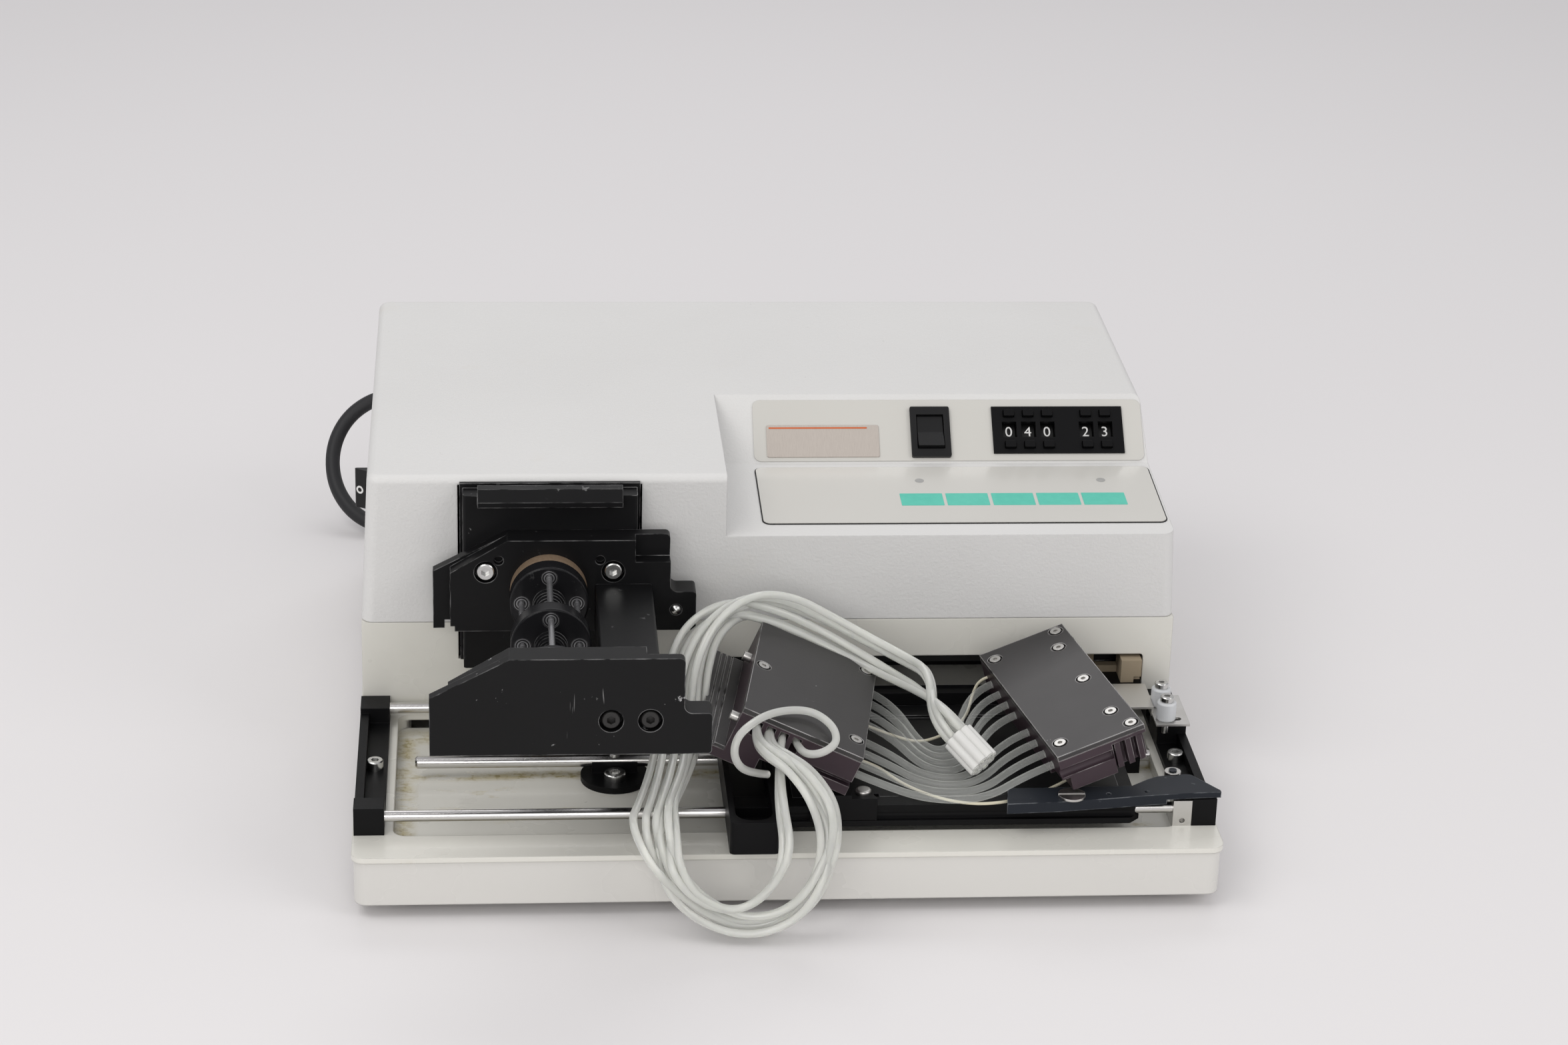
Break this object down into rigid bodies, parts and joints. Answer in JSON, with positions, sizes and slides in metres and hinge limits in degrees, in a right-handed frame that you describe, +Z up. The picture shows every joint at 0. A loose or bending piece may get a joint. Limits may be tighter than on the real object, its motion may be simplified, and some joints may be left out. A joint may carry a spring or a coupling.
{
  "type": "microplate dispenser",
  "caption": "Benchtop microplate dispenser with a peristaltic pump head, a sliding plate carrier on rods, a lift-off tube cassette, a sloped control console and a mains lead",
  "frame": {"origin": "middle of the footprint, from the front of the pump to the end of the strain relief, on the surface it stands on", "axes": "+X to the operator's right, +Y to the rear of the instrument, +Z up"},
  "size_m": [0.361, 0.5077, 0.1318],
  "materials": {
    "pan_white": "gloss",
    "tray_white": "gloss, stained",
    "cover_grey": "matte, textured",
    "label_white": "gloss",
    "foot_rubber": "matte",
    "switch_black": "gloss",
    "black_anodised": "black anodised, satin",
    "black_plastic": "satin",
    "steel": "brushed",
    "chrome": "polished",
    "nylon": "translucent",
    "block_body": "satin",
    "plate_grey": "dark anodised, worn",
    "lever_blue": "anodised, satin",
    "silicone": "translucent",
    "ptfe": "matte",
    "cord_grey": "satin",
    "motor_steel": "satin",
    "board_green": "satin",
    "belt_black": "matte",
    "bare_aluminium": "satin"
  },
  "bodies": {
    "housing": {"base_pan": "pan_white", "tray_moulding": "tray_white", "rear_cover": "cover_grey", "front_labels": "label_white", "rubber_feet": "foot_rubber", "switch_bezels": "switch_black", "digit_switch_housing": "black_plastic", "mains_gland": "cord_grey", "pump_mount_plate": "black_anodised", "pump_rear_plate": "black_anodised", "pump_bridge_block": "black_anodised", "pump_front_plate": "black_anodised", "spacer_sleeves": "nylon", "frame_screws": "steel", "rail_supports": "black_plastic", "guide_rods": "chrome", "flag_bracket": "steel", "drive_motors": "motor_steel", "electronics": "board_green", "drive_belt": "belt_black", "mains_cord": "cord_grey", "mains_coil": "cord_grey", "mains_plug": "cord_grey"},
    "carrier": {"carrier_frame": "black_plastic", "plate_adapter": "black_plastic", "belt_clamp": "black_plastic", "carrier_screws": "steel"},
    "lever": {"clamp_lever": "lever_blue"},
    "lever_roller": {"lever_bearing": "steel"},
    "rotor": {"pump_rotor": "black_anodised"},
    "motor_pulley": {"drive_pulley": "bare_aluminium"},
    "end_pulley": {"idler_pulley": "bare_aluminium"},
    "plate_rocker": {"plate_switch_rocker": "switch_black"},
    "power_rocker": {"power_switch_rocker": "switch_black"},
    "cassette": {"tube_block": "block_body", "dispense_head": "block_body", "cassette_plates": "plate_grey", "cassette_screws": "steel", "tube_collector": "ptfe", "dispense_tubes": "silicone", "supply_tubes": "silicone"},
    "roller_1": {"pump_roller_1": "chrome"},
    "roller_2": {"pump_roller_2": "chrome"},
    "roller_3": {"pump_roller_3": "chrome"},
    "roller_4": {"pump_roller_4": "chrome"},
    "wheel_1": {"digit_wheel_1": "black_plastic"},
    "plus_1": {"plus_button_1": "black_plastic"},
    "minus_1": {"minus_button_1": "black_plastic"},
    "wheel_2": {"digit_wheel_2": "black_plastic"},
    "plus_2": {"plus_button_2": "black_plastic"},
    "minus_2": {"minus_button_2": "black_plastic"},
    "wheel_3": {"digit_wheel_3": "black_plastic"},
    "plus_3": {"plus_button_3": "black_plastic"},
    "minus_3": {"minus_button_3": "black_plastic"},
    "wheel_4": {"digit_wheel_4": "black_plastic"},
    "plus_4": {"plus_button_4": "black_plastic"},
    "minus_4": {"minus_button_4": "black_plastic"},
    "wheel_5": {"digit_wheel_5": "black_plastic"},
    "plus_5": {"plus_button_5": "black_plastic"},
    "minus_5": {"minus_button_5": "black_plastic"}
  },
  "joints": [
    {"name": "carrier_slide", "type": "slide", "parent": "housing", "child": "carrier", "axis": [1, 0, 0], "range_m": [-0.125, 0]},
    {"name": "lever_pivot", "type": "hinge", "parent": "carrier", "child": "lever", "pos_m": [0.1094, -0.1611, 0.0367], "axis": [0, 0, 1], "range_deg": [-8, 0], "stiffness_Nm_per_rad": 0.04, "springref_deg": 6.88},
    {"name": "lever_roller_spin", "type": "hinge", "parent": "lever", "child": "lever_roller", "pos_m": [0.1524, -0.1412, 0.0405], "axis": [0, 0, 1], "continuous": true},
    {"name": "rotor_spin", "type": "hinge", "parent": "housing", "child": "rotor", "pos_m": [-0.0912, -0.128, 0.092], "axis": [0, 1, 0], "continuous": true},
    {"name": "motor_pulley_spin", "type": "hinge", "parent": "housing", "child": "motor_pulley", "pos_m": [0.14, -0.028, 0.0442], "axis": [0, 0, 1], "range_deg": [-900, 0]},
    {"name": "end_pulley_spin", "type": "hinge", "parent": "housing", "child": "end_pulley", "pos_m": [-0.118, -0.028, 0.0442], "axis": [0, 0, 1], "range_deg": [-900, 0]},
    {"name": "plate_rocker_tip", "type": "hinge", "parent": "housing", "child": "plate_rocker", "pos_m": [0.072, 0.02302, 0.1196], "axis": [1, 0, 0], "range_deg": [0, 20]},
    {"name": "power_rocker_tip", "type": "hinge", "parent": "housing", "child": "power_rocker", "pos_m": [-0.1664, 0.127, 0.0515], "axis": [0, 0, 1], "range_deg": [0, 20]},
    {"name": "cassette_lift", "type": "slide", "parent": "housing", "child": "cassette", "axis": [0.8, 0, 0.6], "range_m": [0, 0.16]},
    {"name": "roller_1_spin", "type": "hinge", "parent": "rotor", "child": "roller_1", "pos_m": [-0.0912, -0.128, 0.1029], "axis": [0, 1, 0], "continuous": true},
    {"name": "roller_2_spin", "type": "hinge", "parent": "rotor", "child": "roller_2", "pos_m": [-0.1021, -0.128, 0.092], "axis": [0, 1, 0], "continuous": true},
    {"name": "roller_3_spin", "type": "hinge", "parent": "rotor", "child": "roller_3", "pos_m": [-0.0912, -0.128, 0.0811], "axis": [0, 1, 0], "continuous": true},
    {"name": "roller_4_spin", "type": "hinge", "parent": "rotor", "child": "roller_4", "pos_m": [-0.0803, -0.128, 0.092], "axis": [0, 1, 0], "continuous": true},
    {"name": "wheel_1_turn", "type": "hinge", "parent": "housing", "child": "wheel_1", "pos_m": [0.1059, 0.03112, 0.11223], "axis": [1, 0, 0], "continuous": true},
    {"name": "plus_1_press", "type": "slide", "parent": "housing", "child": "plus_1", "axis": [0, 0.6681, -0.744], "range_m": [0, 0.0015], "stiffness_N_per_m": 200, "springref_m": -0.001},
    {"name": "minus_1_press", "type": "slide", "parent": "housing", "child": "minus_1", "axis": [0, 0.6681, -0.744], "range_m": [0, 0.0015], "stiffness_N_per_m": 200, "springref_m": -0.001},
    {"name": "wheel_2_turn", "type": "hinge", "parent": "housing", "child": "wheel_2", "pos_m": [0.1141, 0.03112, 0.11223], "axis": [1, 0, 0], "continuous": true},
    {"name": "plus_2_press", "type": "slide", "parent": "housing", "child": "plus_2", "axis": [0, 0.6681, -0.744], "range_m": [0, 0.0015], "stiffness_N_per_m": 200, "springref_m": -0.001},
    {"name": "minus_2_press", "type": "slide", "parent": "housing", "child": "minus_2", "axis": [0, 0.6681, -0.744], "range_m": [0, 0.0015], "stiffness_N_per_m": 200, "springref_m": -0.001},
    {"name": "wheel_3_turn", "type": "hinge", "parent": "housing", "child": "wheel_3", "pos_m": [0.1223, 0.03112, 0.11223], "axis": [1, 0, 0], "continuous": true},
    {"name": "plus_3_press", "type": "slide", "parent": "housing", "child": "plus_3", "axis": [0, 0.6681, -0.744], "range_m": [0, 0.0015], "stiffness_N_per_m": 200, "springref_m": -0.001},
    {"name": "minus_3_press", "type": "slide", "parent": "housing", "child": "minus_3", "axis": [0, 0.6681, -0.744], "range_m": [0, 0.0015], "stiffness_N_per_m": 200, "springref_m": -0.001},
    {"name": "wheel_4_turn", "type": "hinge", "parent": "housing", "child": "wheel_4", "pos_m": [0.1389, 0.03112, 0.11223], "axis": [1, 0, 0], "continuous": true},
    {"name": "plus_4_press", "type": "slide", "parent": "housing", "child": "plus_4", "axis": [0, 0.6681, -0.744], "range_m": [0, 0.0015], "stiffness_N_per_m": 200, "springref_m": -0.001},
    {"name": "minus_4_press", "type": "slide", "parent": "housing", "child": "minus_4", "axis": [0, 0.6681, -0.744], "range_m": [0, 0.0015], "stiffness_N_per_m": 200, "springref_m": -0.001},
    {"name": "wheel_5_turn", "type": "hinge", "parent": "housing", "child": "wheel_5", "pos_m": [0.1471, 0.03112, 0.11223], "axis": [1, 0, 0], "continuous": true},
    {"name": "plus_5_press", "type": "slide", "parent": "housing", "child": "plus_5", "axis": [0, 0.6681, -0.744], "range_m": [0, 0.0015], "stiffness_N_per_m": 200, "springref_m": -0.001},
    {"name": "minus_5_press", "type": "slide", "parent": "housing", "child": "minus_5", "axis": [0, 0.6681, -0.744], "range_m": [0, 0.0015], "stiffness_N_per_m": 200, "springref_m": -0.001}
  ],
  "couplings": [
    {"joint": "motor_pulley_spin", "follows": "carrier_slide", "rad_per_m": 125},
    {"joint": "end_pulley_spin", "follows": "carrier_slide", "rad_per_m": 125}
  ]
}
